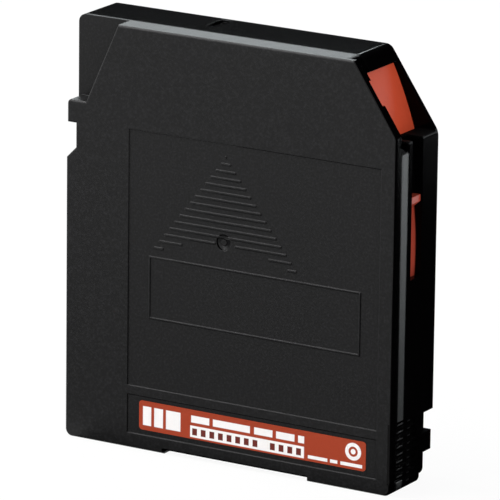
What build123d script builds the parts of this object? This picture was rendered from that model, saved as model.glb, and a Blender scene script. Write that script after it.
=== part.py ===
from build123d import *
import os
from math import asin, cos, degrees, radians, sin, sqrt

# A half-inch data tape cartridge, standing on its rear edge as it does in the picture.
# X is its width, Z runs from the rear edge to the front edge that enters the drive, and Y is
# its thickness. A "level" is a distance from the middle plane towards the label face, which
# looks along -Y. All sizes are in millimetres and all angles in degrees.

# Overall size
width = 109.0
thickness = 24.5
length = 125.0

# Walls of the two case shells
wall = 1.8
plate = 1.75
top_depth = 7.25
ledge_depth = 6.65
far_step_depth = 7.95
seam_groove = 0.25
edge_round = 0.8
label_edge_round = 0.7
fit_gap = 0.15
running_gap = 0.3

# Outline: corner radii, rear recess, cut corner, notches
rear_corner_radius = 2.2
front_corner_radius = 2.4
rear_recess_from_left = 33.75
rear_recess_from_right = 27.5
rear_recess_depth = 1.1
cut_width = 15.9
cut_length = 23.2
cut_rear_radius = 5.0
cut_front_radius = 3.0
plate_cut_width = 13.9
plate_cut_length = 20.5
plate_cut_rear_radius = 2.0
plate_cut_front_radius = 1.0
left_inset = 3.15
left_notch_from_front = 30.8
left_notch_long = 7.2
left_notch_slope = 3.2
left_tab_inset = 0.3
left_tab_radius = 1.2
corner_recess_long = 24.0
corner_recess_near_width = 6.5
corner_recess_far_width = 17.2
right_inset = 2.9
right_notch_front = 20.4
right_notch_slope = 1.5
right_tab_front = 14.1
right_tab_rear = 8.3
right_tab_inset = 0.5
right_tab_slope = 1.3

# Sunken fields and ribs on the label face
field_from_left = 21.3
field_from_right = 4.7
field_rear = 18.9
field_from_front = 29.9
field_depth = 0.3
label_field_rear = 4.57
label_field_front = 16.16
frame_from_field_left = 6.9
frame_from_field_right = 6.05
frame_behind_reel = 7.6
frame_long = 18.7
frame_line = 0.5
arrow_from_reel = 0.45
arrow_before_reel = 25.2
arrow_pitch = 2.15
arrow_rows = 15
arrow_row_growth = 1.695
arrow_rib = 0.65
rib_height = 0.22
arrow_clear_radius = 50.8
arrow_clear_behind_reel = 0.75
arrow_mark_gap = 3.2
mark_radius = 2.33
mark_depth = 0.5
mark_nub_radius = 0.9
mark_nub_height = 0.3

# Label
label_from_field_left = 4.0
label_from_field_right = 3.5
label_rear = 6.16
label_front = 14.9
label_thick = 0.12
label_corner = 1.0

# Grip pockets at the rear of both sides
grip_count = 8
grip_pitch = 2.19
grip_first = 4.1
grip_pocket = 1.35
grip_long = 12.0
grip_depth = 0.6
grip_level = 3.9

# Reel, on an axis along Y a little in front of the middle
reel_x = -1.4
reel_before_middle = 3.6
reel_room_side = 3.3
reel_room_front = 9.1
flange_thick = 1.3
hub_radius = 22.0
hub_bore = 19.8
hub_floor_thick = 1.6
boss_radius = 20.6
boss_bore = 15.2
boss_sink = 1.35
boss_height = 1.4
spindle_hole = 6.0
chuck_tooth_count = 60
chuck_tooth_height = 1.0
chuck_tooth_inner = 15.6
chuck_tooth_outer = 19.8
chuck_tooth_width = 1.4
window_radius = 21.2
window_rim = 1.4
rib_gap = 1.0
rib_thick = 1.2
rib_angle = 40.0
tape_width = 12.65
tape_play = 0.15
tape_margin = 3.5
plate_ring_inner = 7.6
plate_ring_outer = 14.8
plate_ring_thick = 1.0
plate_hole_count = 3
plate_hole_radius = 1.0

# Brake button, its spring and the release pad
brake_tooth_count = 36
brake_tooth_inner = 8.0
brake_tooth_outer = 10.2
brake_tooth_width = 1.1
brake_tooth_height = 1.3
tooth_point = 0.12
brake_radius = 11.0
brake_thick = 1.7
brake_clear = 0.2
brake_travel = 2.0
sleeve_radius = 5.6
sleeve_length = 6.0
guide_span = 8.4
guide_thick = 1.4
guide_gap = 0.15
guide_end = 0.5
brake_spring_radius = 7.4
brake_spring_wire = 0.7
brake_spring_turns = 5
spring_seat = 0.2
pad_gap = 0.2
pad_flange_radius = 7.5
pad_flange_thick = 0.8
pad_face = 0.7
pad_key = 1.2
pad_key_reach = 0.9

# Arc door: it slides in its track round an axis beside the case
door_inset = 2.0
door_axis_from_front = 56.5
door_corner_gap = 1.36
door_thick = 1.4
door_overlap = 1.4
door_rear_angle = -6.0
track_rib = 1.0
track_height = 1.2
track_overrun = 0.5
track_behind_axis = 23.5
opening_from_front = 4.4
opening_long = 18.6
opening_pad_wide = 2.2
opening_pad_breaks = (5.6, 12.3)
front_pad_thick = 1.0
rear_pad_thick = 1.2
jamb_drop = 2.7
jamb_bend = 0.35
slot_long = 24.1
slot_play = 0.3
slot_below_seam = 2.1
slot_wide = 6.0
groove_floor = 1.0
door_tab_from_front = 39.7
door_tab_thick = 1.9
door_tab_slope = 2.0
door_tab_out = 2.2
door_lug_reach = 5.4
door_lug_long = 1.6
door_lug_half = 3.0
spring_inset = 2.9
spigot_long = 2.0
door_spring_radius = 1.7
door_spring_wire = 0.4
door_spring_turns = 15
door_spring_rear = 24.0
door_post_long = 3.0
spigot_radius = 1.2

# Leader pin, its clip, springs and the leader
pin_from_right = 16.0
pin_from_front = 16.0
pin_radius = 1.2
pin_head_radius = 2.5
pin_head_thick = 1.5
pin_collar_radius = 2.3
pin_collar_thick = 0.8
clip_radius = 1.9
clip_mouth = 1.1
pocket_wall = 1.2
pocket_depth = 2.4
leaf_thick = 0.3
leaf_long = 8.8
leaf_gap = 0.15
leaf_overrun = 0.7
leaf_post_size = 2.2
leader_thick = 0.2
leader_clear = 0.15

# Write-protect switch in the rear edge
switch_from_left = 16.5
switch_travel = 3.0
switch_long = 5.4
switch_high = 4.6
window_play = 0.3
carrier_long = 10.0
carrier_high = 7.2
carrier_thick = 1.4
rail_thick = 1.0
rail_depth = 3.2
grip_line = 0.35

# Small notch in the front edge
front_notch_from_left = 40.0
front_notch_long = 3.2
front_notch_near = 2.0
front_notch_far = 10.0
front_notch_depth = 0.7

# Memory chip behind the rear edge
chip_from_right = 23.0
chip_long = 19.0
chip_wide = 9.8
chip_thick = 1.1
chip_rear = 3.0
chip_low = -2.0
chip_rib = 1.2

# Case screws
left_screws_in = 5.9
rear_screws_in = 6.2
front_left_screw_in = 6.6
rear_right_screw_in = 7.9
front_right_screw_in = (23.5, 5.6)
boss_outer = 2.8
boss_low_height = 7.5
screw_radius = 1.2
screw_length = 12.0
screw_head_radius = 2.2
screw_head_thick = 1.4
screw_head_sink = 0.3
screw_gap = 0.05
screw_slot = 0.5
screw_slot_long = 2.6

# Values worked out from the sizes above
left = -width / 2
right = width / 2
label_face = thickness / 2
hub_face = -thickness / 2
top_inner = label_face - plate
bottom_inner = hub_face + plate
seam = label_face - top_depth
ledge = label_face - ledge_depth
far_step = hub_face + far_step_depth

rear_recess_left = left + rear_recess_from_left
rear_recess_right = right - rear_recess_from_right
left_notch_front = length - left_notch_from_front
left_notch_rear = left_notch_front - left_notch_long
corner_recess_rear = length - corner_recess_long
field_left = left + field_from_left
field_right = right - field_from_right
field_front = length - field_from_front
label_left = field_left + label_from_field_left
label_right = field_right - label_from_field_right

# The reel is as large as the case's width and length leave room for
reel_z = length / 2 + reel_before_middle
reel_limits = (reel_x - left - wall - reel_room_side, length - reel_z - wall - reel_room_front)
flange_radius = min(reel_limits)
rib_radius = flange_radius + rib_gap
tape_radius = flange_radius - tape_margin
boss_low = hub_face + boss_sink
hub_floor_low = boss_low + boss_height
frame_left = field_left + frame_from_field_left
frame_right = field_right - frame_from_field_right
frame_front = reel_z - frame_behind_reel
frame_rear = frame_front - frame_long
arrow_x = reel_x + arrow_from_reel
arrow_tip = reel_z + arrow_before_reel
arrow_clear_front = reel_z - arrow_clear_behind_reel

# The door's arc touches a line inside the right side and ends just behind the cut corner
opening_front = length - opening_from_front
opening_rear = opening_front - opening_long
jamb_rear = opening_rear - jamb_drop
door_front = opening_front + door_overlap
door_z = length - door_axis_from_front
cut_share = (door_front - length + cut_length) / cut_length
door_sag = cut_width * cut_share + door_corner_gap - door_inset
door_radius = ((door_front - door_z) ** 2 + door_sag**2) / (2 * door_sag)
door_x = right - door_inset - door_radius
track_radius = door_radius + running_gap
track_rear = door_z - track_behind_axis
door_tab_front = length - door_tab_from_front
door_tab_rear = door_tab_front - door_tab_thick
door_tab_foot = door_tab_rear - door_tab_slope
slot_front = door_tab_front + slot_play
slot_rear = slot_front - slot_long
slot_high = seam - slot_below_seam
slot_low = slot_high - slot_wide
pin_x = right - pin_from_right
pin_z = length - pin_from_front
pin_length = top_inner - bottom_inner - 2 * running_gap
switch_x = left + switch_from_left
chip_x = right - chip_from_right
front_notch_x = left + front_notch_from_left
screw_places = [
    (left + left_screws_in, rear_screws_in),
    (right - rear_right_screw_in, rear_screws_in),
    (left + left_screws_in, length - front_left_screw_in),
    (right - front_right_screw_in[0], length - front_right_screw_in[1]),
]

winding_width = tape_width + 2 * tape_play
winding_low = -winding_width / 2
winding_high = winding_width / 2
flange_top = winding_high + flange_thick
flange_low = winding_low - flange_thick
hub_floor_top = hub_floor_low + hub_floor_thick
window_rim_height = flange_low - running_gap - bottom_inner
boss_joint = bottom_inner + boss_low_height
brake_low = hub_floor_top + 2 * brake_tooth_height + brake_clear
brake_top = brake_low + brake_thick
guide_tip = brake_top + brake_travel + guide_end


def face_plane(level):
    """A plane parallel to the label face, local x along X and local y along Z."""
    return Plane.XZ.offset(level)


def reel_plane(level, towards_label=True):
    """A plane across the reel's axis at a level, centred on that axis."""
    side = -1 if towards_label else 1
    return Plane(origin=(reel_x, -level, reel_z), x_dir=(1, 0, 0), z_dir=(0, side, 0))


def outline(corners, rounded=True):
    """A face from (x, z, radius) corners."""
    points = [(x, z) for x, z, radius in corners]
    radii = [radius if rounded else 0.0 for x, z, radius in corners]
    with BuildSketch() as face:
        with BuildLine():
            FilletPolyline(*points, radius=radii, close=True)
        make_face()
    return face.sketch


def rear_edge(right_x, right_radius):
    """The rear edge with its shallow recess, from left to right."""
    return [
        (left, 0, rear_corner_radius),
        (rear_recess_left, 0, 0),
        (rear_recess_left, rear_recess_depth, 0),
        (rear_recess_right, rear_recess_depth, 0),
        (rear_recess_right, 0, 0),
        (right_x, 0, right_radius),
    ]


def front_left_corner():
    """The full left side, as on the middle layer of the case."""
    return [(left, length, front_corner_radius)]


def left_side():
    """The left side of the label face's layer: corner recess, tab and notch."""
    notch_x = left + left_inset
    tab_x = left + left_tab_inset
    return [
        (left + corner_recess_far_width, length, 0),
        (left + corner_recess_near_width, corner_recess_rear, 0),
        (tab_x, corner_recess_rear, left_tab_radius),
        (tab_x, left_notch_front, 0),
        (notch_x, left_notch_front, 0),
        (notch_x, left_notch_rear, 0),
        (left, left_notch_rear - left_notch_slope, 0),
    ]


def cut_corner(across, along, side_radius, front_radius):
    """The cut corner between the right side and the front edge."""
    return [(right, length - along, side_radius), (right - across, length, front_radius)]


def right_side():
    """The right side of the hub face's layer: a tab between two insets."""
    inset_x = right - right_inset
    tab_x = right - right_tab_inset
    return [
        (inset_x, right_tab_rear - right_tab_slope, 0),
        (tab_x, right_tab_rear, 0),
        (tab_x, right_tab_front, 0),
        (inset_x, right_tab_front, 0),
        (inset_x, right_notch_front - right_notch_slope, 0),
        (right, right_notch_front, 0),
    ]


def inside(corners, amount):
    """The sharp-cornered outline, moved inwards."""
    with BuildSketch() as face:
        add(outline(corners, rounded=False))
        offset(amount=-amount, kind=Kind.INTERSECTION)
    return face.sketch


def room(corners):
    """The hollow of a shell: inside its walls and, beside the door's track, inside the track."""
    with BuildSketch() as face:
        add(inside(corners, wall))
        with Locations((door_x, door_z)):
            Circle(track_radius, mode=Mode.INTERSECT)
    with BuildSketch() as rear:
        add(inside(corners, wall))
        with Locations((0, 0)):
            Rectangle(2 * width, 2 * track_rear, mode=Mode.INTERSECT)
    with BuildSketch() as both:
        add(face.sketch)
        add(rear.sketch)
    return both.sketch


def door_point(radius, angle):
    """A point (x, z) at a radius and angle from the door's axis."""
    return (door_x + radius * cos(radians(angle)), door_z + radius * sin(radians(angle)))


def door_angle(z, radius=door_radius):
    """The angle at which the door's arc passes a height z."""
    return degrees(asin((z - door_z) / radius))


def arc_band(inner, outer, first, last):
    """A band between two radii and two angles round the door's axis."""
    middle = (first + last) / 2
    with BuildSketch() as band:
        with BuildLine():
            Polyline(door_point(outer, first), door_point(inner, first))
            ThreePointArc(
                door_point(inner, first), door_point(inner, middle), door_point(inner, last)
            )
            Polyline(door_point(inner, last), door_point(outer, last))
            ThreePointArc(
                door_point(outer, last), door_point(outer, middle), door_point(outer, first)
            )
        make_face()
    return band.sketch


def reel_ribs():
    """Four arc ribs that keep the loose reel in the middle of the case."""
    pieces = []
    for turn in (45, 135, 225, 315):
        ends = (turn - rib_angle / 2, turn + rib_angle / 2)
        with BuildSketch() as rib:
            with BuildLine():
                points = []
                for radius in (rib_radius, rib_radius + rib_thick):
                    points.append(
                        [
                            (
                                reel_x + radius * cos(radians(angle)),
                                reel_z + radius * sin(radians(angle)),
                            )
                            for angle in (ends[0], turn, ends[1])
                        ]
                    )
                ThreePointArc(*points[0])
                Polyline(points[0][2], points[1][2])
                ThreePointArc(*points[1])
                Polyline(points[1][0], points[0][0])
            make_face()
        pieces.append(rib.sketch)
    return pieces


def screw_boss(place, low, high):
    """A post with a screw's bore, from one level to another."""
    with BuildPart() as post:
        with BuildSketch(face_plane(low)):
            with Locations(place):
                Circle(boss_outer)
                Circle(screw_radius + screw_gap, mode=Mode.SUBTRACT)
        extrude(amount=high - low)
    return post.part


def tooth_ring(inner, outer, tooth_width, height, count):
    """A ring of pointed teeth round the Z axis, standing up from Z = 0."""
    with BuildPart() as tooth:
        with BuildSketch(Plane.YZ.offset(inner)):
            with BuildLine():
                Polyline(
                    (-tooth_width / 2, 0),
                    (tooth_width / 2, 0),
                    (tooth_point, height),
                    (-tooth_point, height),
                    (-tooth_width / 2, 0),
                )
            make_face()
        extrude(amount=outer - inner)
    turns = [Rot(0, 0, 360 * step / count) for step in range(count)]
    return [turn * tooth.part for turn in turns]


def disc(plane, radius, amount, bore=0.0):
    """A disc or ring that rises from a plane."""
    with BuildPart() as piece:
        with BuildSketch(plane):
            Circle(radius)
            if bore:
                Circle(bore, mode=Mode.SUBTRACT)
        extrude(amount=amount)
    return piece.part


def coil(base, radius, wire, height, turns):
    """A compression spring that stands on a plane."""
    path = Helix(pitch=(height - wire) / turns, height=height - wire, radius=radius)
    with BuildPart() as spring:
        with BuildSketch(Plane(origin=path @ 0, z_dir=path % 0)):
            Circle(wire / 2)
        sweep(path=path, is_frenet=True)
    return base * Pos(0, 0, wire / 2) * spring.part


# Outlines of the case's layers
recess = rear_edge(right, rear_corner_radius)
wall_cut = cut_corner(cut_width, cut_length, cut_rear_radius, cut_front_radius)
plate_cut = cut_corner(
    plate_cut_width, plate_cut_length, plate_cut_rear_radius, plate_cut_front_radius
)
pad_slope = plate_cut_length / plate_cut_width
pad_cut = cut_corner(
    plate_cut_width + opening_pad_wide,
    plate_cut_length + opening_pad_wide * pad_slope,
    0,
    0,
)
middle_corners = recess + wall_cut + front_left_corner()
wall_corners = recess + wall_cut + left_side()
plate_corners = recess + plate_cut + left_side()
plate_pad_corners = recess + pad_cut + left_side()
hub_corners = (
    rear_edge(right - right_inset, rear_corner_radius)
    + right_side()
    + wall_cut
    + front_left_corner()
)
middle_outline = outline(middle_corners)
wall_outline = outline(wall_corners)
plate_outline = outline(plate_corners)
hub_outline = outline(hub_corners)

# Door angles
door_front_angle = door_angle(door_front)
door_travel = door_angle(door_tab_foot) - door_angle(slot_rear + running_gap)
door_open_rear = door_rear_angle - door_travel
door_end_gap = degrees(running_gap / door_radius)
track_band = arc_band(
    door_radius - door_thick - running_gap - track_rib,
    door_radius - door_thick - running_gap,
    door_open_rear - track_overrun,
    door_front_angle + door_end_gap,
)
with BuildSketch() as corner_opening:
    with Locations((pin_x, opening_rear)):
        Rectangle(width / 2, opening_front - opening_rear, align=(Align.MIN, Align.MIN))
    add(
        arc_band(
            door_radius - door_thick - running_gap,
            track_radius,
            door_angle(opening_front) - door_end_gap,
            door_front_angle + door_end_gap,
        )
    )

# In front of the tab the slot is a groove: its floor follows the door's track
groove_back = arc_band(
    track_radius,
    track_radius + groove_floor,
    door_angle(slot_front, track_radius),
    door_angle(opening_rear + groove_floor, track_radius),
)

# The near jamb of the corner opening falls away outwards, and in a curve towards the seam
jamb_inner = door_point(track_radius, door_angle(opening_rear, track_radius))[0]
jamb_curve = (top_inner + seam) / 2
with BuildPart() as near_jamb:
    with BuildSketch(face_plane(seam)):
        with BuildLine():
            Polyline(
                (jamb_inner, opening_rear),
                (right, jamb_rear),
                (right + wall, jamb_rear),
                (right + wall, opening_rear + wall),
                (jamb_inner, opening_rear + wall),
                (jamb_inner, opening_rear),
            )
        make_face()
    extrude(amount=top_inner - seam)
    with BuildSketch(Plane.YZ.offset(jamb_inner)):
        with BuildLine():
            ThreePointArc(
                (-top_inner, opening_rear),
                (-jamb_curve, jamb_rear + (opening_rear - jamb_rear) * jamb_bend),
                (-seam, jamb_rear),
            )
            Polyline(
                (-seam, jamb_rear),
                (-seam, opening_rear + wall),
                (-top_inner, opening_rear + wall),
                (-top_inner, opening_rear),
            )
        make_face()
    extrude(amount=right + wall - jamb_inner, mode=Mode.INTERSECT)

# The door's spring: from the lug at the door's rear end to a post, along the track's tangent
spring_top = door_point(door_radius - door_thick - spring_inset, door_rear_angle)
spring_down = (sin(radians(door_rear_angle)), -cos(radians(door_rear_angle)))
spring_long = (spring_top[1] - door_spring_rear) / -spring_down[1]
spring_end = tuple(spring_top[i] + spring_down[i] * spring_long for i in range(2))
spring_foot = Plane(
    origin=(spring_end[0], 0, spring_end[1]), z_dir=(-spring_down[0], 0, -spring_down[1])
)
spring_head = Plane(
    origin=(spring_top[0], 0, spring_top[1]), z_dir=(spring_down[0], 0, spring_down[1])
)
spring_post = Location(
    tuple(spring_end[i] + spring_down[i] * door_post_long / 2 for i in range(2)),
    door_rear_angle,
)

# The leaf springs lie across the mouth of the pin's pockets, on the opening's diagonal
pocket_mouth = 2 * (pin_head_radius + pocket_wall)
leaf_reach = (pin_head_radius + leaf_gap + leaf_thick / 2) / sqrt(2)
leaf_tip = (pin_x + leaf_reach + leaf_overrun, pin_z + leaf_reach - leaf_overrun)
leaf_middle = (leaf_tip[0] - leaf_long / sqrt(8), leaf_tip[1] + leaf_long / sqrt(8))
leaf_post_step = (leaf_long + leaf_post_size) / sqrt(8)
leaf_post = Location((leaf_middle[0] - leaf_post_step, leaf_middle[1] + leaf_post_step), 45)

# Grip pockets, shared by both shells on both sides
grip_levels = [grip_first + grip_pitch * step for step in range(grip_count)]
with BuildPart() as grip_pockets:
    for side in (left, right):
        with BuildSketch(Plane.YZ.offset(side - grip_depth)):
            with Locations(*[(-grip_level, z) for z in grip_levels]):
                SlotOverall(grip_long, grip_pocket)
        extrude(amount=2 * grip_depth)

# Raised arrow on the label face
field_floor = label_face - field_depth
arrow_pieces = []
for row in range(arrow_rows):
    row_z = arrow_tip - arrow_pitch * row
    half = max(arrow_row_growth * row, arrow_rib)
    gap = 0.0
    if row_z < arrow_clear_front:
        gap = sqrt(2 * arrow_clear_radius * (arrow_clear_front - row_z))
    elif row_z < arrow_clear_front + arrow_pitch:
        gap = arrow_mark_gap
    if gap:
        arrow_pieces.append((arrow_x - (half + gap) / 2, row_z, half - gap))
        arrow_pieces.append((arrow_x + (half + gap) / 2, row_z, half - gap))
    else:
        arrow_pieces.append((arrow_x, row_z, 2 * half))

# Top shell: label face, its walls down to the seam, and the ledge under the corner recess
with BuildPart() as top_shell:
    with BuildSketch(face_plane(top_inner)):
        add(plate_outline)
    extrude(amount=plate)
    with BuildSketch(face_plane(seam)):
        add(wall_outline)
    extrude(amount=top_inner - seam)
    with BuildSketch(face_plane(seam)):
        add(room(wall_corners))
    extrude(amount=top_inner - seam, mode=Mode.SUBTRACT)
    label_rim = top_shell.faces().sort_by(Axis.Y)[0].outer_wire().edges()
    fillet(label_rim, label_edge_round)
    # the ledge, flush with the middle layer, and its thicker floor inside the walls
    with BuildSketch(face_plane(seam)):
        add(middle_outline)
        add(wall_outline, mode=Mode.SUBTRACT)
    extrude(amount=ledge - seam)
    with BuildSketch(face_plane(ledge - plate)) as ledge_floor:
        add(inside(middle_corners, wall + fit_gap))
        floor_edge = left + left_inset + 2 * wall
        with BuildLine():
            Polyline(
                (left - wall, left_notch_rear - 2 * left_notch_slope),
                (floor_edge, left_notch_rear - 2 * left_notch_slope),
                (floor_edge, corner_recess_rear - 2 * wall),
                (left + corner_recess_near_width + 2 * wall, corner_recess_rear - 2 * wall),
                (left + corner_recess_far_width + 2 * wall, length + wall),
                (left - wall, length + wall),
                (left - wall, left_notch_rear - 2 * left_notch_slope),
            )
        make_face(mode=Mode.INTERSECT)
    extrude(amount=plate)
    # the corner opening for the leader pin, with room for the door's front end
    with BuildSketch(face_plane(seam)):
        add(corner_opening.sketch)
    extrude(amount=top_inner - seam, mode=Mode.SUBTRACT)
    add(near_jamb.part, mode=Mode.SUBTRACT)
    # two low pads along the cut edge, from the front wall and from the jamb, with a break
    opening_pads = [
        (length - opening_pad_breaks[0], length - wall, front_pad_thick),
        (opening_rear, length - opening_pad_breaks[1], rear_pad_thick),
    ]
    for rear, front, thick in opening_pads:
        with BuildSketch(face_plane(top_inner)):
            add(plate_outline)
            with Locations((pin_x, rear)):
                Rectangle(width / 2, front - rear, align=(Align.MIN, Align.MIN), mode=Mode.INTERSECT)
            add(outline(plate_pad_corners, rounded=False), mode=Mode.SUBTRACT)
        extrude(amount=-thick)
    # sunken fields
    with BuildSketch(face_plane(label_face)):
        with Locations(((field_left + field_right) / 2, (field_rear + field_front) / 2)):
            Rectangle(field_right - field_left, field_front - field_rear)
        with Locations(
            ((field_left + field_right) / 2, (label_field_rear + label_field_front) / 2)
        ):
            Rectangle(field_right - field_left, label_field_front - label_field_rear)
    extrude(amount=-field_depth, mode=Mode.SUBTRACT)
    # the frame and the arrow are low ribs on the field's floor
    with BuildSketch(face_plane(field_floor)):
        with Locations(((frame_left + frame_right) / 2, (frame_rear + frame_front) / 2)):
            Rectangle(frame_right - frame_left, frame_front - frame_rear)
            Rectangle(
                frame_right - frame_left - 2 * frame_line,
                frame_front - frame_rear - 2 * frame_line,
                mode=Mode.SUBTRACT,
            )
        for x, z, long in arrow_pieces:
            with Locations((x, z)):
                SlotOverall(long, arrow_rib) if long > 2 * arrow_rib else Circle(arrow_rib / 2)
    extrude(amount=rib_height)
    # the moulding's gate mark: a dimple with a nub in its middle
    add(disc(reel_plane(field_floor - mark_depth), mark_radius, mark_depth), mode=Mode.SUBTRACT)
    add(disc(reel_plane(field_floor - mark_depth), mark_nub_radius, mark_nub_height))
    # inside: reel ribs, door track, brake guide, leader pin pocket, screw bosses
    with BuildSketch(face_plane(flange_top - flange_thick / 2)):
        for rib in reel_ribs():
            add(rib)
    extrude(amount=top_inner - flange_top + flange_thick / 2)
    with BuildSketch(face_plane(top_inner)):
        add(track_band)
    extrude(amount=-track_height)
    with BuildSketch(face_plane(top_inner)):
        with Locations((reel_x, reel_z)):
            Rectangle(guide_span, guide_thick)
            Rectangle(guide_thick, guide_span)
    extrude(amount=guide_tip - top_inner)
    with BuildSketch(face_plane(top_inner)):
        with Locations((pin_x, pin_z)):
            Circle(pin_head_radius + running_gap + pocket_wall)
            Circle(pin_head_radius + running_gap, mode=Mode.SUBTRACT)
            with Locations((pin_head_radius, pin_head_radius)):
                Rectangle(pocket_mouth, pocket_mouth, mode=Mode.SUBTRACT)
    extrude(amount=-pocket_depth)
    with BuildSketch(face_plane(top_inner)):
        with Locations(leaf_post):
            Rectangle(leaf_post_size, leaf_post_size)
    extrude(amount=-pocket_depth)
    for x, z in screw_places:
        over_ledge = x < 0 and z > corner_recess_rear
        add(screw_boss((x, z), boss_joint, ledge - plate if over_ledge else top_inner))
    add(grip_pockets.part, mode=Mode.SUBTRACT)
top_shell.part.label = "top_shell"

# Bottom shell: hub face, walls up to the seam, window for the reel, slot for the door's tab
with BuildPart() as bottom_shell:
    with BuildSketch(face_plane(hub_face)):
        add(hub_outline)
    extrude(amount=far_step - hub_face)
    hub_rim = bottom_shell.faces().sort_by(Axis.Y)[-1].outer_wire().edges()
    fillet(hub_rim, edge_round)
    with BuildSketch(face_plane(far_step)):
        add(middle_outline)
    extrude(amount=seam - far_step)
    with BuildSketch(face_plane(bottom_inner)):
        add(room(hub_corners))
    extrude(amount=far_step + plate - bottom_inner, mode=Mode.SUBTRACT)
    with BuildSketch(face_plane(far_step + plate)):
        add(room(middle_corners))
    extrude(amount=seam - far_step - plate, mode=Mode.SUBTRACT)
    with BuildSketch(face_plane(seam)):
        add(middle_outline)
        offset(middle_outline, amount=-seam_groove, mode=Mode.SUBTRACT)
    extrude(amount=-seam_groove, mode=Mode.SUBTRACT)
    # the corner opening, and the slot that runs into it
    with BuildSketch(face_plane(bottom_inner)):
        add(corner_opening.sketch)
    extrude(amount=seam - bottom_inner, mode=Mode.SUBTRACT)
    with BuildSketch(face_plane(slot_low)):
        with Locations((pin_x, slot_rear)):
            Rectangle(width / 2, opening_rear - slot_rear, align=(Align.MIN, Align.MIN))
        add(groove_back, mode=Mode.SUBTRACT)
    extrude(amount=slot_high - slot_low, mode=Mode.SUBTRACT)
    # the window for the reel's hub and the rim that the reel rests on
    add(disc(reel_plane(bottom_inner), window_radius + window_rim, window_rim_height))
    add(
        disc(reel_plane(hub_face), window_radius, plate + 2 * window_rim_height),
        mode=Mode.SUBTRACT,
    )
    with BuildSketch(face_plane(bottom_inner)):
        for rib in reel_ribs():
            add(rib)
    extrude(amount=flange_low + flange_thick / 2 - bottom_inner)
    with BuildSketch(face_plane(bottom_inner)):
        add(track_band)
    extrude(amount=track_height)
    with BuildSketch(face_plane(bottom_inner)):
        with Locations((pin_x, pin_z)):
            Circle(pin_head_radius + running_gap + pocket_wall)
            Circle(pin_head_radius + running_gap, mode=Mode.SUBTRACT)
            with Locations((pin_head_radius, pin_head_radius)):
                Rectangle(pocket_mouth, pocket_mouth, mode=Mode.SUBTRACT)
    extrude(amount=pocket_depth)
    with BuildSketch(face_plane(bottom_inner)):
        with Locations(leaf_post):
            Rectangle(leaf_post_size, leaf_post_size)
    extrude(amount=pocket_depth)
    # the post that the door's spring pushes on
    with BuildSketch(face_plane(bottom_inner)):
        with Locations(spring_post):
            Rectangle(door_lug_reach, door_post_long)
    extrude(amount=door_lug_half - bottom_inner)
    add(disc(spring_foot, spigot_radius, spigot_long))
    # screw bosses, bored through the hub face with sunk seats for the heads
    for x, z in screw_places:
        add(screw_boss((x, z), bottom_inner, boss_joint))
        with BuildSketch(face_plane(hub_face)):
            with Locations((x, z)):
                Circle(screw_radius + screw_gap)
        extrude(amount=plate, mode=Mode.SUBTRACT)
        with BuildSketch(face_plane(hub_face)):
            with Locations((x, z)):
                Circle(screw_head_radius + fit_gap)
        extrude(amount=screw_head_thick + screw_head_sink, mode=Mode.SUBTRACT)
    # the write-protect switch's window and rails
    window_long = switch_long + switch_travel + 2 * window_play
    window_x = switch_x + switch_travel / 2
    with BuildSketch(Plane.XY):
        with Locations((window_x, 0)):
            Rectangle(window_long, switch_high + 2 * window_play)
    extrude(amount=wall, mode=Mode.SUBTRACT)
    with BuildSketch(Plane.XY.offset(wall)):
        rail_offset = carrier_high / 2 + fit_gap + rail_thick / 2
        with Locations((window_x, rail_offset), (window_x, -rail_offset)):
            Rectangle(carrier_long + switch_travel + 2 * wall, rail_thick)
    extrude(amount=rail_depth)
    with BuildSketch(Plane.XY.offset(length - front_notch_depth)):
        with Locations((front_notch_x, (front_notch_near + front_notch_far) / 2)):
            Rectangle(front_notch_long, front_notch_far - front_notch_near)
    extrude(amount=front_notch_depth, mode=Mode.SUBTRACT)
    # two ribs that carry the memory chip's slanted board
    for side in (-1, 1):
        rib_x = chip_x + side * (chip_long / 2 - 2 * chip_rib)
        chip_drop = chip_wide / sqrt(2)
        with BuildSketch(Plane.YZ.offset(rib_x - chip_rib / 2)):
            with BuildLine():
                Polyline(
                    (-chip_low, chip_rear + chip_rib),
                    (-chip_low + chip_drop, chip_rear + chip_rib + chip_drop),
                    (-bottom_inner, chip_rear + chip_rib + chip_drop),
                    (-bottom_inner, chip_rear + 4 * chip_rib + chip_drop),
                    (-chip_low, chip_rear + 4 * chip_rib + chip_drop),
                    (-chip_low, chip_rear + chip_rib),
                )
            make_face()
        extrude(amount=chip_rib)
    add(grip_pockets.part, mode=Mode.SUBTRACT)
bottom_shell.part.label = "bottom_shell"

# Label, stuck in its sunken field
with BuildPart() as label:
    with BuildSketch(face_plane(field_floor)):
        with Locations(((label_left + label_right) / 2, (label_rear + label_front) / 2)):
            RectangleRounded(label_right - label_left, label_front - label_rear, label_corner)
    extrude(amount=label_thick)
label.part.label = "label"

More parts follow.
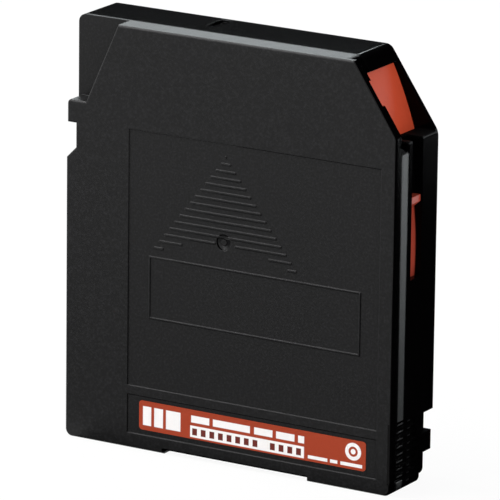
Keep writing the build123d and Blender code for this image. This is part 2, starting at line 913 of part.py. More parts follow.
# Arc door with its tab and the lug for its spring
door_half = top_inner - running_gap
with BuildPart() as arc_door:
    with BuildSketch(face_plane(-door_half)):
        add(arc_band(door_radius - door_thick, door_radius, door_rear_angle, door_front_angle))
    extrude(amount=2 * door_half)
    tab_low = slot_low + fit_gap
    tab_high = slot_high - fit_gap
    tab_root = door_point(door_radius, door_angle(door_tab_foot))[0]
    with BuildSketch(face_plane(tab_low)):
        with BuildLine():
            Polyline(
                (tab_root - door_thick, door_tab_front),
                (tab_root + door_tab_out, door_tab_front),
                (tab_root + door_tab_out, door_tab_rear),
                (tab_root, door_tab_foot),
                (tab_root - door_thick, door_tab_foot),
                (tab_root - door_thick, door_tab_front),
            )
        make_face()
    extrude(amount=tab_high - tab_low)
    lug_angle = degrees(door_lug_long / door_radius)
    with BuildSketch(face_plane(-door_lug_half)):
        add(
            arc_band(
                door_radius - door_thick - door_lug_reach,
                door_radius - door_thick / 2,
                door_rear_angle,
                door_rear_angle + lug_angle,
            )
        )
    extrude(amount=2 * door_lug_half)
    add(disc(spring_head, spigot_radius, spigot_long))
arc_door.part.label = "arc_door"

# Door spring
with BuildPart() as door_spring:
    foot = spring_foot.offset(spring_seat)
    add(
        coil(
            foot.location,
            door_spring_radius,
            door_spring_wire,
            spring_long - 2 * spring_seat,
            door_spring_turns,
        )
    )
door_spring.part.label = "door_spring"

# Reel hub and lower flange, one moulding
with BuildPart() as reel_hub:
    add(disc(reel_plane(flange_low), flange_radius, flange_thick))
    add(disc(reel_plane(winding_low), hub_radius, winding_width))
    add(disc(reel_plane(boss_low), boss_radius, flange_low - boss_low))
    add(
        disc(reel_plane(hub_floor_top), hub_bore, winding_high - hub_floor_top),
        mode=Mode.SUBTRACT,
    )
    add(disc(reel_plane(boss_low), boss_bore, hub_floor_low - boss_low), mode=Mode.SUBTRACT)
    with Locations(reel_plane(boss_low, towards_label=False)):
        add(
            tooth_ring(
                chuck_tooth_inner,
                chuck_tooth_outer,
                chuck_tooth_width,
                chuck_tooth_height,
                chuck_tooth_count,
            )
        )
    with Locations(reel_plane(hub_floor_top)):
        add(
            tooth_ring(
                brake_tooth_inner,
                brake_tooth_outer,
                brake_tooth_width,
                brake_tooth_height,
                brake_tooth_count,
            )
        )
    with BuildSketch(reel_plane(hub_floor_low)):
        Circle(spindle_hole)
        with PolarLocations(spindle_hole, 3):
            Rectangle(2 * (pad_key_reach + fit_gap), pad_key + 2 * fit_gap)
    extrude(amount=hub_floor_thick, mode=Mode.SUBTRACT)
    rims = reel_hub.faces().filter_by(GeomType.CYLINDER).filter_by(
        lambda face: abs(face.radius - flange_radius) < running_gap
    )
    chamfer(rims.edges().filter_by(GeomType.CIRCLE), flange_thick / 4)
reel_hub.part.label = "reel_hub"

# Upper flange with the skirt that centres it in the hub
with BuildPart() as upper_flange:
    skirt_radius = hub_bore - screw_gap
    add(disc(reel_plane(winding_high), flange_radius, flange_thick, skirt_radius - flange_thick))
    chamfer(
        upper_flange.edges()
        .filter_by(GeomType.CIRCLE)
        .filter_by(lambda edge: abs(edge.radius - flange_radius) < running_gap),
        flange_thick / 4,
    )
    add(
        disc(
            reel_plane(winding_high - flange_thick),
            skirt_radius,
            flange_thick,
            skirt_radius - flange_thick,
        )
    )
upper_flange.part.label = "upper_flange"

# Steel clutch ring, set in the hub's floor
with BuildPart() as clutch_ring:
    with BuildSketch(reel_plane(hub_floor_low - plate_ring_thick)):
        Circle(plate_ring_outer)
        Circle(plate_ring_inner, mode=Mode.SUBTRACT)
        with PolarLocations((plate_ring_inner + plate_ring_outer) / 2, plate_hole_count):
            Circle(plate_hole_radius, mode=Mode.SUBTRACT)
    extrude(amount=plate_ring_thick)
clutch_ring.part.label = "clutch_ring"

# Tape pack, all its turns one solid
with BuildPart() as tape_pack:
    add(disc(reel_plane(-tape_width / 2), tape_radius, tape_width, hub_radius + screw_gap))
tape_pack.part.label = "tape_pack"

# Leader, from where it leaves the pack to the leader pin
pin_step = Vector(pin_x - reel_x, pin_z - reel_z)
leader_path_radius = tape_radius + leader_clear + leader_thick / 2
leader_long = sqrt(pin_step.length**2 - leader_path_radius**2)
leader_turn = degrees(asin(leader_path_radius / pin_step.length))
pin_bearing = Vector(1, 0).get_angle(pin_step)
leader_bearing = pin_bearing - leader_turn
leader_way = (cos(radians(leader_bearing)), sin(radians(leader_bearing)))
leader_end = pin_radius + leaf_gap
leader_run = leader_long - leader_end
leader_middle = (
    pin_x - leader_way[0] * (leader_end + leader_run / 2),
    pin_z - leader_way[1] * (leader_end + leader_run / 2),
)
with BuildPart() as leader:
    with BuildSketch(face_plane(-tape_width / 2)):
        with Locations(Location(leader_middle, leader_bearing)):
            Rectangle(leader_run, leader_thick)
    extrude(amount=tape_width)
leader.part.label = "leader"

# Leader pin with its heads and collars
pin_base = Plane(origin=(pin_x, pin_length / 2, pin_z), x_dir=(1, 0, 0), z_dir=(0, -1, 0))
collar_low = pin_length / 2 - tape_width / 2 - pin_collar_thick - running_gap
with BuildPart() as leader_pin:
    add(disc(pin_base, pin_radius, pin_length))
    add(disc(pin_base, pin_head_radius, pin_head_thick))
    add(disc(pin_base.offset(pin_length - pin_head_thick), pin_head_radius, pin_head_thick))
    add(disc(pin_base.offset(collar_low), pin_collar_radius, pin_collar_thick))
    add(
        disc(
            pin_base.offset(pin_length - collar_low - pin_collar_thick),
            pin_collar_radius,
            pin_collar_thick,
        )
    )
leader_pin.part.label = "leader_pin"

# Clip that grips the leader round the pin, its mouth towards the leader
with BuildPart() as pin_clip:
    with BuildSketch(face_plane(-tape_width / 2)):
        with Locations(Location((pin_x, pin_z), leader_bearing)):
            Circle(clip_radius)
            Circle(pin_radius + screw_gap, mode=Mode.SUBTRACT)
            with Locations((-clip_radius, 0)):
                Rectangle(2 * clip_radius, clip_mouth, mode=Mode.SUBTRACT)
    extrude(amount=tape_width)
pin_clip.part.label = "pin_clip"


def leaf_spring(low, name):
    """A flat spring across the mouth of one pocket."""
    with BuildPart() as leaf:
        with BuildSketch(face_plane(low)):
            with Locations(Location(leaf_middle, -45)):
                Rectangle(leaf_long, leaf_thick)
        extrude(amount=pin_head_thick)
    leaf.part.label = name
    return leaf.part


leaf_high = pin_length / 2 - pin_head_thick
pin_spring_upper = leaf_spring(leaf_high, "pin_spring_upper")
pin_spring_lower = leaf_spring(-leaf_high - pin_head_thick, "pin_spring_lower")

# Brake button: toothed disc, nose for the release pad, and a sleeve on the shell's guide
pad_flange_top = hub_floor_top + pad_gap + pad_flange_thick
nose_low = pad_flange_top + leaf_gap
with BuildPart() as brake_button:
    add(disc(reel_plane(brake_low), brake_radius, brake_thick))
    add(disc(reel_plane(nose_low), sleeve_radius / 2, brake_low - nose_low))
    add(disc(reel_plane(brake_top), sleeve_radius, sleeve_length))
    with BuildSketch(reel_plane(brake_top)):
        Rectangle(guide_span + 2 * guide_gap, guide_thick + 2 * guide_gap)
        Rectangle(guide_thick + 2 * guide_gap, guide_span + 2 * guide_gap)
    extrude(amount=sleeve_length, mode=Mode.SUBTRACT)
    with Locations(reel_plane(brake_low, towards_label=False)):
        add(
            tooth_ring(
                brake_tooth_inner,
                brake_tooth_outer,
                brake_tooth_width,
                brake_tooth_height,
                brake_tooth_count,
            )
        )
brake_button.part.label = "brake_button"

# Brake spring, between the button and the label face's inside
with BuildPart() as brake_spring:
    add(
        coil(
            reel_plane(brake_top + spring_seat).location,
            brake_spring_radius,
            brake_spring_wire,
            top_inner - brake_top - 2 * spring_seat,
            brake_spring_turns,
        )
    )
brake_spring.part.label = "brake_spring"

# Release pad, keyed in the hub's floor and pushed by the drive's spindle
pad_low = hub_floor_low - pad_face
with BuildPart() as release_pad:
    with BuildSketch(reel_plane(pad_low)):
        Circle(spindle_hole - running_gap)
        with PolarLocations(spindle_hole - running_gap, 3):
            Rectangle(2 * pad_key_reach, pad_key)
    extrude(amount=hub_floor_top + pad_gap - pad_low)
    add(disc(reel_plane(hub_floor_top + pad_gap), pad_flange_radius, pad_flange_thick))
release_pad.part.label = "release_pad"

# Write-protect switch: a ribbed button in the window on a carrier behind the wall
with BuildPart() as write_switch:
    with BuildSketch(Plane.XY.offset(running_gap)):
        with Locations((switch_x, 0)):
            Rectangle(switch_long, switch_high)
    extrude(amount=wall + fit_gap - running_gap)
    with BuildSketch(Plane.XY.offset(wall + fit_gap)):
        with Locations((switch_x, 0)):
            Rectangle(carrier_long, carrier_high)
    extrude(amount=carrier_thick)
    with BuildSketch(Plane.XY.offset(running_gap)):
        with Locations((switch_x, 0)):
            with GridLocations(switch_long / 4, 0, 3, 1):
                Rectangle(2 * grip_line, switch_high)
    extrude(amount=grip_line, mode=Mode.SUBTRACT)
write_switch.part.label = "write_switch"

# Memory chip on its slanted board
with BuildPart() as memory_chip:
    with BuildSketch(Plane.YZ.offset(chip_x - chip_long / 2)):
        skew = chip_thick / sqrt(2)
        with BuildLine():
            Polyline(
                (-chip_low, chip_rear + chip_rib),
                (-chip_low + chip_drop, chip_rear + chip_rib + chip_drop),
                (-chip_low + chip_drop + skew, chip_rear + chip_rib + chip_drop - skew),
                (-chip_low + skew, chip_rear + chip_rib - skew),
                (-chip_low, chip_rear + chip_rib),
            )
        make_face()
    extrude(amount=chip_long)
memory_chip.part.label = "memory_chip"

# Case screws, driven from the hub face
screw_seat = hub_face + screw_head_sink + screw_head_thick
with BuildPart() as case_screws:
    for x, z in screw_places:
        screw_base = Plane(origin=(x, -hub_face, z), x_dir=(1, 0, 0), z_dir=(0, -1, 0))
        add(disc(screw_base.offset(screw_head_sink), screw_head_radius, screw_head_thick))
        add(disc(screw_base.offset(screw_seat - hub_face), screw_radius, screw_length))
        with BuildSketch(screw_base.offset(screw_head_sink)):
            Rectangle(screw_slot_long, screw_slot)
            Rectangle(screw_slot, screw_slot_long)
        extrude(amount=screw_head_thick / 2, mode=Mode.SUBTRACT)
case_screws.part.label = "case_screws"

os.makedirs("parts", exist_ok=True)
pieces = [
    top_shell.part,
    bottom_shell.part,
    label.part,
    arc_door.part,
    door_spring.part,
    reel_hub.part,
    upper_flange.part,
    clutch_ring.part,
    tape_pack.part,
    leader.part,
    leader_pin.part,
    pin_clip.part,
    pin_spring_upper,
    pin_spring_lower,
    brake_button.part,
    brake_spring.part,
    release_pad.part,
    write_switch.part,
    memory_chip.part,
    case_screws.part,
]
for piece in pieces:
    export_step(piece, f"parts/{piece.label}.step")
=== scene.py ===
from math import cos, radians, sin

import bpy
from mathutils import Matrix, Vector

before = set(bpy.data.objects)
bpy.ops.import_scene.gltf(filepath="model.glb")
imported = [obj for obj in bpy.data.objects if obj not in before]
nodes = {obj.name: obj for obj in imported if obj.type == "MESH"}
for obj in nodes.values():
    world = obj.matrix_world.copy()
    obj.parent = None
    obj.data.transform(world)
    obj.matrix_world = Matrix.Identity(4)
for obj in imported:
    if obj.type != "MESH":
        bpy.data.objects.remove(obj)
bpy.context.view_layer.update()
print("frame loaded:", len(nodes), "nodes")


# One number socket in a material, with the arithmetic that the materials use
class Number:
    def __init__(self, paint, socket):
        self.paint = paint
        self.socket = socket

    def combine(self, operation, *values):
        return self.paint.node("ShaderNodeMath", {"operation": operation}, dict(enumerate(values)))

    def __add__(self, other):
        return self.combine("ADD", self, other)

    def __sub__(self, other):
        return self.combine("SUBTRACT", self, other)

    def __mul__(self, other):
        return self.combine("MULTIPLY", self, other)

    def __truediv__(self, other):
        return self.combine("DIVIDE", self, other)

    def __lt__(self, other):
        return self.combine("LESS_THAN", self, other)

    def __gt__(self, other):
        return self.combine("GREATER_THAN", self, other)

    def __radd__(self, other):
        return self.combine("ADD", other, self)

    def __rsub__(self, other):
        return self.combine("SUBTRACT", other, self)

    def __rmul__(self, other):
        return self.combine("MULTIPLY", other, self)

    def __pow__(self, other):
        return self.combine("POWER", self, other)

    def __abs__(self):
        return self.combine("ABSOLUTE", self)


# A material under construction: its shader, its nodes and the shapes that patterns need
class Paint:
    def __init__(self, name, **shader):
        self.material = bpy.data.materials.new(name)
        self.material.use_nodes = True
        self.tree = self.material.node_tree
        self.shader = self.tree.nodes["Principled BSDF"]
        for socket, value in shader.items():
            self.shader.inputs[socket.replace("_", " ")].default_value = value
        self.place = self.node("ShaderNodeTexCoord", {}, {}, "Object")
        self.x, self.y, self.z = self.parts(self.place)

    def node(self, kind, settings, sockets, output=0):
        made = self.tree.nodes.new(kind)
        for name, value in settings.items():
            if name == "stops":
                ramp = made.color_ramp
                while len(ramp.elements) < len(value):
                    ramp.elements.new(0.5)
                for element, (position, colour) in zip(ramp.elements, value):
                    element.position = position
                    element.color = colour
            else:
                setattr(made, name, value)
        for name, value in sockets.items():
            if isinstance(value, Number):
                self.tree.links.new(value.socket, made.inputs[name])
            else:
                made.inputs[name].default_value = value
        return Number(self, made.outputs[output])

    def noise(self, size, detail=2.0, roughness=0.5, place=None):
        settings = {"noise_dimensions": "3D"}
        sockets = {"Vector": place or self.place, "Scale": 1 / size, "Detail": detail}
        sockets["Roughness"] = roughness
        return self.node("ShaderNodeTexNoise", settings, sockets, "Fac")

    def ease(self, value, low, high):
        settings = {"interpolation_type": "SMOOTHSTEP", "clamp": True}
        sockets = {"Value": value, "From Min": low, "From Max": high}
        return self.node("ShaderNodeMapRange", settings, sockets)

    def blend(self, mask, first, second):
        settings = {"data_type": "RGBA", "blend_type": "MIX", "clamp_factor": True}
        return self.node("ShaderNodeMix", settings, {0: mask, 6: first, 7: second}, 2)

    def most(self, first, second):
        return self.node("ShaderNodeMath", {"operation": "MAXIMUM"}, {0: first, 1: second})

    def fraction(self, value):
        return self.node("ShaderNodeMath", {"operation": "FRACT"}, {0: value})

    def within(self, value, low, high, soft=0.0001):
        started = self.ease(value, low - soft, low + soft)
        ended = self.ease(value, high - soft, high + soft)
        return started * (1 - ended)

    def row(self, spans, low, high):
        # bars side by side, given by their ends in x, between two heights
        bars = 0
        for start, end in spans:
            bars = self.within(self.x, start, end) + bars
        return bars * self.within(self.z, low, high)

    def distance(self, x, z):
        return ((self.x - x) * (self.x - x) + (self.z - z) * (self.z - z)) ** 0.5

    def parts(self, vector):
        split = self.tree.nodes.new("ShaderNodeSeparateXYZ")
        self.tree.links.new(vector.socket, split.inputs[0])
        return [Number(self, output) for output in split.outputs]

    def normal(self):
        return self.parts(self.node("ShaderNodeTexCoord", {}, {}, "Normal"))

    def edgeWear(self, radius, keenness):
        # how far the surface turns within a short distance, from 0 on flats to 1 on edges
        rounded = self.node("ShaderNodeBevel", {"samples": 4}, {"Radius": radius})
        flat = self.node("ShaderNodeNewGeometry", {}, {}, "Normal")
        settings = {"operation": "DOT_PRODUCT"}
        match = self.node("ShaderNodeVectorMath", settings, {0: rounded, 1: flat}, "Value")
        return self.ease(1 - match, 0.01, keenness)

    def bump(self, height, depth, strength=1.0, normal=None):
        sockets = {"Height": height, "Distance": depth, "Strength": strength}
        if normal:
            sockets["Normal"] = normal
        return self.node("ShaderNodeBump", {}, sockets, "Normal")

    def set(self, **sockets):
        for name, value in sockets.items():
            self.tree.links.new(value.socket, self.shader.inputs[name.replace("_", " ")])

    def on(self, *names):
        for name in names:
            node = nodes[name]
            node.data.materials.clear()
            node.data.materials.append(self.material)


def rgb(red, green, blue):
    return (red, green, blue, 1.0)


# Case: black plastic with a fine spark-eroded grain, smooth on its side and end walls
caseLook = {
    "black": rgb(0.0042, 0.0042, 0.0044),
    "worn": rgb(0.03, 0.03, 0.032),
    "smooth": rgb(0.0006, 0.0005, 0.0006),
    "topSpecular": 0.22,
    "bottomSpecular": 0.05,
    "grain": 0.0007,
    "grainDepth": 0.00006,
    "freckles": 0.34,
    "freckleRange": (0.42, 0.72),
    "cloud": 0.02,
    "wearRadius": 0.00018,
    "wear": 0.6,
    "texturedGloss": 0.42,
    "smoothGloss": 0.06,
    "rounding": 0.0004,
    "shadeTurn": (0.08, 0.3),
    "faceDepth": -0.0105,
    "markCentre": (-0.0014, 0.0661),
    "markSlope": (0.0009, 0.0026),
    "markDepth": 0.0007,
    "bandNear": -0.0088,
    "bandFar": -0.0054,
    "bandSoft": 0.0009,
    "bandFront": 0.0995,
    "bandInner": 0.0542,
    "cutStart": 0.0411,
    "cutNear": -0.0118,
    "mouthFloor": (0.1015, 0.1025),
    "mouthNear": -0.006,
    "mouthGloss": 0.6,
    "gripFront": 0.0213,
    "gripFirst": 0.0041,
    "gripPitch": 0.00219,
    "gripRib": (0.72, 1.0),
    "gripRear": 0.0035,
    "dashNear": -0.0031,
    "dashFar": -0.0014,
    "dashSoft": 0.0003,
    "turned": (0.6, 0.9),
}


def casePaint(name, specular, textured):
    look = caseLook
    paint = Paint(name, Specular_IOR_Level=specular)
    grain = paint.noise(look["grain"], 4.0, 0.7)
    cloud = paint.noise(look["cloud"], 3.0, 0.5)
    wear = paint.edgeWear(look["wearRadius"], 0.3)
    rounded = paint.node("ShaderNodeBevel", {"samples": 8}, {"Radius": look["rounding"]})
    turnedRight, _, turnedUp = paint.parts(rounded)
    # painted shade: on the label face, edges that face right or down lose their grain and take the darker
    # smooth colour, standing in for the shade on the undersides and right flanks of ribs and ledges
    shadedFlanks = paint.ease(turnedRight, *look["shadeTurn"]) + paint.ease(0 - turnedUp, *look["shadeTurn"])
    onFace = paint.y < look["faceDepth"]
    mask = textured(paint) * (1 - shadedFlanks * onFace * (paint.x < look["bandInner"]))
    moulded = paint.blend(mask, look["smooth"], look["black"])
    base = paint.blend(wear * look["wear"] * (0.4 + cloud) * mask, moulded, look["worn"])
    freckles = paint.ease(grain, *look["freckleRange"]) * mask * look["freckles"]
    gloss = look["smoothGloss"] + (look["texturedGloss"] - look["smoothGloss"]) * mask
    mark = paint.ease(paint.distance(*look["markCentre"]), *look["markSlope"])
    dimple = paint.bump(mark * onFace, look["markDepth"], 1.0, rounded)
    relief = paint.bump(grain * mask + 0.02 * cloud, look["grainDepth"], 0.8, dimple)
    # the ledge at the mouth of the door's slot is dull
    mouth = paint.within(paint.z, *look["mouthFloor"]) * (paint.x > look["cutStart"])
    mouth = mouth * (paint.y > look["mouthNear"])
    paint.set(
        Base_Color=paint.blend(freckles, base, look["worn"]),
        Roughness=gloss + (0.01 + 0.04 * mask) * cloud + look["mouthGloss"] * mouth,
        Normal=relief,
    )
    return paint


def ribHighlights(paint):
    # painted highlight: one grained line for each rib between the grip's pockets, lighter and rougher
    # than the smooth pockets
    look = caseLook
    steps = (paint.z - look["gripFirst"]) / look["gripPitch"] + 0.5
    return paint.within(paint.fraction(steps), *look["gripRib"], 0.06)


def topTexture(paint):
    # the label shell is grained, but smooth on its right side around the band and in the grips; the
    # grained band is lighter and rougher than the smooth side around it, a painted highlight along the
    # side
    look = caseLook
    cut = (paint.x > look["cutStart"]) * (paint.y > look["cutNear"])
    smooth = paint.most(paint.ease(paint.normal()[0], 0.3, 0.5), cut)
    band = paint.within(paint.y, look["bandNear"], look["bandFar"], look["bandSoft"])
    long = 1 - paint.ease(paint.z, look["bandFront"] - look["bandSoft"], look["bandFront"])
    outer = paint.ease(paint.x, look["bandInner"], look["bandInner"] + 0.0001)
    gripping = (paint.z < look["gripFront"]) * (paint.z > look["gripRear"])
    lines = 1 - gripping * (1 - ribHighlights(paint))
    pockets = gripping * (paint.x > look["bandInner"] - 0.0008) * (1 - outer)
    return (1 - smooth * (1 - band * long * outer * lines)) * (1 - pockets)


def bottomTexture(paint):
    # the far face is grained, the front wall a little, and the ribs' ends faintly, as painted highlights
    # at the ends of the grip's ribs
    look = caseLook
    _, turnedFar, turnedUp = paint.normal()
    dashes = paint.within(paint.y, look["dashNear"], look["dashFar"], look["dashSoft"]) * ribHighlights(paint)
    dashes = dashes * (paint.x > look["bandInner"]) * (paint.z < look["gripFront"])
    walls = paint.ease(turnedFar, *look["turned"]) + 0.1 * paint.ease(turnedUp, *look["turned"])
    return walls + 0.6 * dashes


casePaint("topShellPlastic", caseLook["topSpecular"], topTexture).on("top_shell")
casePaint("bottomShellPlastic", caseLook["bottomSpecular"], bottomTexture).on("bottom_shell")
print("case finished")

# Door: orange plastic with a faint moulded mottle
doorLook = {
    "orange": rgb(0.53, 0.068, 0.027),
    "deep": rgb(0.46, 0.054, 0.021),
    "slotShade": rgb(0.26, 0.036, 0.022),
    "gloss": 0.5,
    "tabFront": 0.099,
}
paint = Paint("doorPlastic", Specular_IOR_Level=0.1)
mottle = paint.noise(0.003, 4.0, 0.6)
fine = paint.noise(0.0003, 2.0)
clean = paint.blend(mottle, doorLook["deep"], doorLook["orange"])
# painted shade: the tab and the arc behind it are darkened, standing in for the shade in the slot and
# under the tab
shadedInSlot = paint.z < doorLook["tabFront"]
paint.set(
    Base_Color=paint.blend(shadedInSlot * (0.7 + 0.3 * mottle), clean, doorLook["slotShade"]),
    Roughness=doorLook["gloss"] + 0.12 * mottle,
    Normal=paint.bump(fine + 0.3 * mottle, 0.00001, 0.5),
)
paint.on("arc_door")

# Label: brick red with plain white bars, a row of dark strokes and a ring
labelLook = {
    "red": rgb(0.36, 0.046, 0.014),
    "deep": rgb(0.3, 0.036, 0.011),
    "white": rgb(0.88, 0.87, 0.86),
    "blocks": [(-0.0279, -0.0251), (-0.0241, -0.0211), (-0.0201, -0.0152)],
    "blockHeights": (0.0076, 0.0133),
    "words": [
        (-0.0116, -0.0055),
        (-0.0043, 0.0081),
        (0.0095, 0.0156),
        (0.0168, 0.0229),
        (0.0241, 0.0261),
    ],
    "wordHeights": (0.0111, 0.0132),
    "field": (-0.0119, 0.0261),
    "fieldHeights": (0.0067, 0.01015),
    "ink": rgb(0.13, 0.02, 0.014),
    "dashes": [(-0.0114, 0.0118), (0.0147, 0.0254)],
    "dashHeights": (0.00735, 0.0094),
    "dashStart": -0.0112,
    "dashPitch": 0.00289,
    "dashShare": 0.56,
    "notes": [(0.0274, 0.0338), (0.0347, 0.0371), (0.0381, 0.0452)],
    "noteHeights": (0.00695, 0.00795),
    "ringCentre": (0.0422, 0.01145),
    "ringRadii": (0.0015, 0.0026),
    "dotRadius": 0.0008,
}
look = labelLook
paint = Paint("labelPrint", Specular_IOR_Level=0.18)
weave = paint.noise(0.0012, 4.0, 0.6)
speck = paint.noise(0.00025, 2.0, 0.5)
ringDistance = paint.distance(*look["ringCentre"])
ring = paint.within(ringDistance, *look["ringRadii"]) + (ringDistance < look["dotRadius"])
step = paint.fraction((paint.x - look["dashStart"]) / look["dashPitch"] + 100.0)
dashes = paint.row(look["dashes"], *look["dashHeights"]) * (step < look["dashShare"])
white = (
    paint.row(look["blocks"], *look["blockHeights"])
    + paint.row(look["words"], *look["wordHeights"])
    + paint.row([look["field"]], *look["fieldHeights"])
    + paint.row(look["notes"], *look["noteHeights"])
    + ring
)
face = paint.ease(0 - paint.normal()[1], 0.6, 0.9)
red = paint.blend(0.5 * weave + 0.5 * speck, look["deep"], look["red"])
printed = paint.blend(white * face * (0.9 + 0.1 * speck), red, look["white"])
paint.set(
    Base_Color=paint.blend(dashes * face, printed, look["ink"]),
    Roughness=0.42 + 0.1 * weave,
    Normal=paint.bump(0.3 * speck + white, 0.000006, 0.4),
)
paint.on("label")
print("label finished")


# Plain plastics of the reel, the brake, the switch and the clip
def mouldedPaint(name, pale, deep, gloss, grain=0.0004):
    paint = Paint(name)
    cloud = paint.noise(0.006, 4.0, 0.6)
    fine = paint.noise(grain, 2.0)
    paint.set(
        Base_Color=paint.blend(cloud, deep, pale),
        Roughness=gloss + 0.15 * cloud,
        Normal=paint.bump(fine + 0.4 * cloud, 0.00001, 0.6),
    )
    return paint


mouldedPaint("reelPlastic", rgb(0.66, 0.66, 0.63), rgb(0.56, 0.56, 0.53), 0.35).on("reel_hub")
mouldedPaint("flangePlastic", rgb(0.64, 0.64, 0.61), rgb(0.55, 0.55, 0.52), 0.3).on("upper_flange")
mouldedPaint("brakePlastic", rgb(0.05, 0.05, 0.055), rgb(0.035, 0.035, 0.04), 0.4).on("brake_button")
mouldedPaint("padPlastic", rgb(0.52, 0.47, 0.31), rgb(0.44, 0.39, 0.25), 0.4).on("release_pad")
mouldedPaint("switchPlastic", rgb(0.36, 0.36, 0.37), rgb(0.3, 0.3, 0.31), 0.4).on("write_switch")
mouldedPaint("clipPlastic", rgb(0.04, 0.04, 0.042), rgb(0.028, 0.028, 0.03), 0.35).on("pin_clip")
print("plastics finished")


# Steels: turned, drawn or stamped, each with its own tool marks
def steelPaint(name, bright, dull, gloss, marks):
    paint = Paint(name, Metallic=1.0)
    cloud = paint.noise(0.004, 4.0, 0.6)
    streaks = marks(paint)
    paint.set(
        Base_Color=paint.blend(cloud, dull, bright),
        Roughness=gloss + 0.1 * cloud + 0.08 * streaks,
        Normal=paint.bump(streaks, 0.000006, 0.5),
    )
    return paint


def acrossY(paint):
    stretched = paint.node("ShaderNodeMapping", {}, {"Vector": paint.place, "Scale": (0.05, 1.0, 0.05)})
    return paint.noise(0.0001, 2.0, 0.6, stretched)


def inAllWays(paint):
    return paint.noise(0.0002, 3.0, 0.6)


steelPaint("springSteel", rgb(0.6, 0.6, 0.6), rgb(0.42, 0.42, 0.43), 0.22, inAllWays).on(
    "door_spring", "brake_spring", "pin_spring_upper", "pin_spring_lower"
)
steelPaint("pinSteel", rgb(0.66, 0.66, 0.66), rgb(0.55, 0.55, 0.56), 0.16, acrossY).on("leader_pin")
steelPaint("clutchSteel", rgb(0.56, 0.56, 0.57), rgb(0.42, 0.42, 0.43), 0.25, inAllWays).on("clutch_ring")
steelPaint("screwSteel", rgb(0.33, 0.33, 0.34), rgb(0.2, 0.2, 0.21), 0.3, inAllWays).on("case_screws")
print("steels finished")

# Tape: the edges of the turns as fine rings round the reel's axis
tapeLook = {
    "x": -0.0014,
    "z": 0.0661,
    "turn": 0.00015,
    "band": 0.0012,
    "brown": rgb(0.04, 0.028, 0.022),
    "dark": rgb(0.018, 0.013, 0.011),
}


def turnsOf(paint, pitch):
    axis = (tapeLook["x"], 0, tapeLook["z"])
    centred = paint.node("ShaderNodeVectorMath", {"operation": "SUBTRACT"}, {0: paint.place, 1: axis})
    flat = paint.node("ShaderNodeVectorMath", {"operation": "MULTIPLY"}, {0: centred, 1: (1, 0, 1)})
    radius = paint.node("ShaderNodeVectorMath", {"operation": "LENGTH"}, {0: flat}, "Value")
    sockets = {"W": radius / pitch, "Scale": 1.0}
    return paint.node("ShaderNodeTexNoise", {"noise_dimensions": "1D"}, sockets, "Fac")


paint = Paint("tapeEdges", Specular_IOR_Level=0.5)
turns = turnsOf(paint, tapeLook["turn"])
bands = turnsOf(paint, tapeLook["band"])
paint.set(
    Base_Color=paint.blend(0.5 * turns + 0.5 * bands, tapeLook["dark"], tapeLook["brown"]),
    Roughness=0.25 + 0.2 * turns,
    Normal=paint.bump(turns, 0.00002, 0.6),
)
paint.on("tape_pack")

paint = Paint("leaderFilm", Specular_IOR_Level=0.5)
cloud = paint.noise(0.004, 2.0)
paint.set(
    Base_Color=paint.blend(cloud, tapeLook["dark"], tapeLook["brown"]),
    Roughness=0.15 + 0.1 * cloud,
)
paint.on("leader")

# Memory chip: green board with a dark encapsulated chip in its middle
chipLook = {
    "green": rgb(0.02, 0.13, 0.05),
    "copper": rgb(0.5, 0.24, 0.1),
    "black": rgb(0.01, 0.01, 0.01),
    "x": 0.0315,
    "coil": (0.0068, 0.0088),
    "half": 0.0022,
    "trackFrequency": 12000.0,
}
paint = Paint("chipBoard", Specular_IOR_Level=0.5)
grain = paint.noise(0.0006, 3.0)
coil = paint.within(abs(paint.x - chipLook["x"]), *chipLook["coil"])
wave = paint.node("ShaderNodeMath", {"operation": "SINE"}, {0: paint.x * chipLook["trackFrequency"]})
tracks = coil * paint.ease(wave, 0.0, 0.5)
body = paint.within(abs(paint.x - chipLook["x"]), -0.01, chipLook["half"])
board = paint.blend(tracks, chipLook["green"], chipLook["copper"])
paint.set(
    Base_Color=paint.blend(body, board, chipLook["black"]),
    Roughness=0.3 + 0.15 * grain,
    Normal=paint.bump(grain * 0.1 + body, 0.0001, 0.5),
)
paint.on("memory_chip")
print("tape and chip finished")

# Camera, solved from the photo's edges
cameraLook = {
    "azimuth": 30.8095,
    "elevation": 15.4613,
    "roll": 0.714,
    "distance": 1.72694,
    "lens": 434.94,
    "target": (0.0, 0.0, 0.0625),
    "shiftRight": 0.000154,
    "shiftUp": -0.001005,
}
azimuth, elevation, roll = (radians(cameraLook[name]) for name in ("azimuth", "elevation", "roll"))
back = Vector((sin(azimuth) * cos(elevation), -cos(azimuth) * cos(elevation), sin(elevation)))
levelRight = Vector((0, 0, 1)).cross(back).normalized()
levelUp = back.cross(levelRight)
right = levelRight * cos(roll) + levelUp * sin(roll)
up = levelUp * cos(roll) - levelRight * sin(roll)
camera = bpy.data.objects.new("camera", bpy.data.cameras.new("camera"))
bpy.context.collection.objects.link(camera)
camera.data.sensor_width = 36.0
camera.data.lens = cameraLook["lens"]
camera.data.clip_end = 20.0
spot = Vector(cameraLook["target"]) + back * cameraLook["distance"]
spot += right * cameraLook["shiftRight"] + up * cameraLook["shiftUp"]
camera.matrix_world = Matrix.Translation(spot) @ Matrix((right, up, back)).transposed().to_4x4()
bpy.context.scene.camera = camera

# World: white behind everything, a plain level for the light
worldLook = {"ambient": 0.45}
world = bpy.data.worlds.new("studio")
bpy.context.scene.world = world
world.use_nodes = True
worldTree = world.node_tree
background = worldTree.nodes["Background"]


def whiteForSight(tree):
    rays = tree.nodes.new("ShaderNodeLightPath")
    total = None
    for name in ("Is Camera Ray", "Is Glossy Ray", "Is Transmission Ray"):
        if total is None:
            total = rays.outputs[name]
            continue
        most = tree.nodes.new("ShaderNodeMath")
        most.operation = "MAXIMUM"
        tree.links.new(total, most.inputs[0])
        tree.links.new(rays.outputs[name], most.inputs[1])
        total = most.outputs[0]
    return total


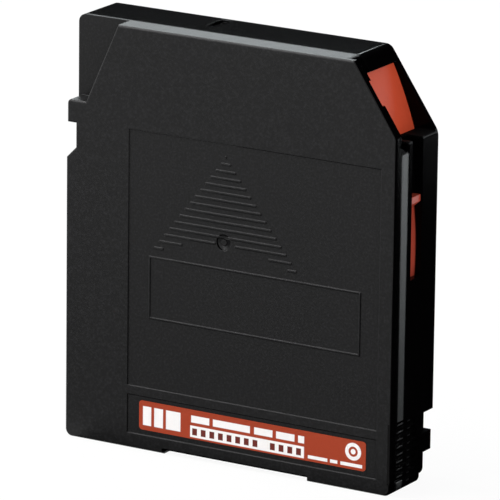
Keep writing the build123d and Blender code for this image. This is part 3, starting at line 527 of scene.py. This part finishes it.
strength = worldTree.nodes.new("ShaderNodeMapRange")
strength.inputs["To Min"].default_value = worldLook["ambient"]
strength.inputs["To Max"].default_value = 1.0
worldTree.links.new(whiteForSight(worldTree), strength.inputs["Value"])
worldTree.links.new(strength.outputs[0], background.inputs["Strength"])
background.inputs["Color"].default_value = rgb(1.0, 1.0, 1.0)

# Floor: pale, nearly white to the eye, with a soft shadow
floorLook = {"size": 6.0, "pale": rgb(0.8, 0.8, 0.8), "white": 0.93}
bpy.ops.mesh.primitive_plane_add(size=floorLook["size"], location=(0, 0, 0))
floor = bpy.context.object
floor.name = "floor"
floorMaterial = bpy.data.materials.new("floorPale")
floorMaterial.use_nodes = True
floorTree = floorMaterial.node_tree
floorShader = floorTree.nodes["Principled BSDF"]
floorShader.inputs["Base Color"].default_value = floorLook["pale"]
floorShader.inputs["Roughness"].default_value = 0.9
floorShader.inputs["Specular IOR Level"].default_value = 0.0
glow = floorTree.nodes.new("ShaderNodeEmission")
mixed = floorTree.nodes.new("ShaderNodeMixShader")
share = floorTree.nodes.new("ShaderNodeMath")
share.operation = "MULTIPLY"
share.inputs[1].default_value = floorLook["white"]
floorTree.links.new(whiteForSight(floorTree), share.inputs[0])
floorTree.links.new(share.outputs[0], mixed.inputs[0])
floorTree.links.new(floorShader.outputs[0], mixed.inputs[1])
floorTree.links.new(glow.outputs[0], mixed.inputs[2])
floorTree.links.new(mixed.outputs[0], floorTree.nodes["Material Output"].inputs["Surface"])
floor.data.materials.append(floorMaterial)

# Lamps: a large soft key from the left, one overhead, one behind, one at the right, and a small
# low one behind that only reflections see
lamps = {
    "key": {"at": (-0.9, -1.3, 1.1), "size": 1.0, "power": 12.5, "colour": (1.0, 1.0, 1.0)},
    "top": {"at": (-0.62, -0.15, 1.1), "size": 0.6, "power": 12.0, "colour": (1.0, 1.0, 1.0)},
    "rim": {"at": (-0.62, 1.04, 0.8), "size": 0.5, "power": 6.0, "colour": (0.9, 0.98, 1.0)},
    "side": {"at": (1.2, -0.35, 0.6), "size": 0.5, "power": 7.0, "colour": (1.0, 1.0, 1.0)},
    "band": {"at": (0.21, 0.35, 0.06), "size": 0.12, "power": 1.2, "colour": (0.93, 0.98, 1.0)},
}
lampTarget = (0.0, 0.0, 0.06)
for name, look in lamps.items():
    lamp = bpy.data.objects.new(name, bpy.data.lights.new(name, "AREA"))
    bpy.context.collection.objects.link(lamp)
    lamp.data.energy = look["power"]
    lamp.data.size = look["size"]
    lamp.data.color = look["colour"]
    lamp.location = look["at"]
    lamp.visible_camera = False
    lamp.visible_diffuse = name != "band"
    aim = Vector(lampTarget) - Vector(look["at"])
    lamp.rotation_euler = aim.to_track_quat("-Z", "Y").to_euler()

# Cards that only reflections see: black ones at the right and behind; a black one on the floor under the
# case, painted shade for the floor round its foot; and a grey one in front that glows faintly, a painted
# reflection of a dimmer floor
cards = {
    "rightCard": {"at": (0.062, 0.14, 0.15), "size": (0.34, 0.32), "facing": (-1, 0, 0), "glowStrength": 0.0},
    "backCard": {"at": (0.0, 0.3, 0.1225), "size": (1.2, 0.245), "facing": (0, -1, 0), "glowStrength": 0.0},
    "upperCard": {"at": (0.25, 0.3, 0.55), "size": (0.7, 0.61), "facing": (0, -1, 0), "glowStrength": 0.0},
    "sideCard": {"at": (0.6, 0.0, 0.35), "size": (1.2, 0.9), "facing": (-1, 0, -0.2), "glowStrength": 0.0},
    "footCard": {"at": (0.13, 0.14, 0.0005), "size": (0.36, 0.34), "facing": (0, 0, 1), "glowStrength": 0.0},
    "frontCard": {"at": (0.07, -0.12, 0.001), "size": (0.5, 0.2), "facing": (0, 0, 1), "glowStrength": 0.45},
}
for name, look in cards.items():
    bpy.ops.mesh.primitive_plane_add(size=1.0, location=look["at"])
    card = bpy.context.object
    card.name = name
    card.scale = (look["size"][0], look["size"][1], 1.0)
    card.rotation_euler = Vector(look["facing"]).to_track_quat("Z", "Y").to_euler()
    cardMaterial = bpy.data.materials.new(name)
    cardMaterial.use_nodes = True
    cardShader = cardMaterial.node_tree.nodes["Principled BSDF"]
    cardShader.inputs["Base Color"].default_value = rgb(0.0, 0.0, 0.0)
    cardShader.inputs["Specular IOR Level"].default_value = 0.0
    cardShader.inputs["Emission Color"].default_value = rgb(1.0, 1.0, 1.0)
    cardShader.inputs["Emission Strength"].default_value = look["glowStrength"]
    card.data.materials.append(cardMaterial)
    card.visible_camera = False
    card.visible_diffuse = False
    card.visible_shadow = False
    card.visible_transmission = False
print("studio finished")

bpy.context.scene.view_settings.view_transform = "Standard"
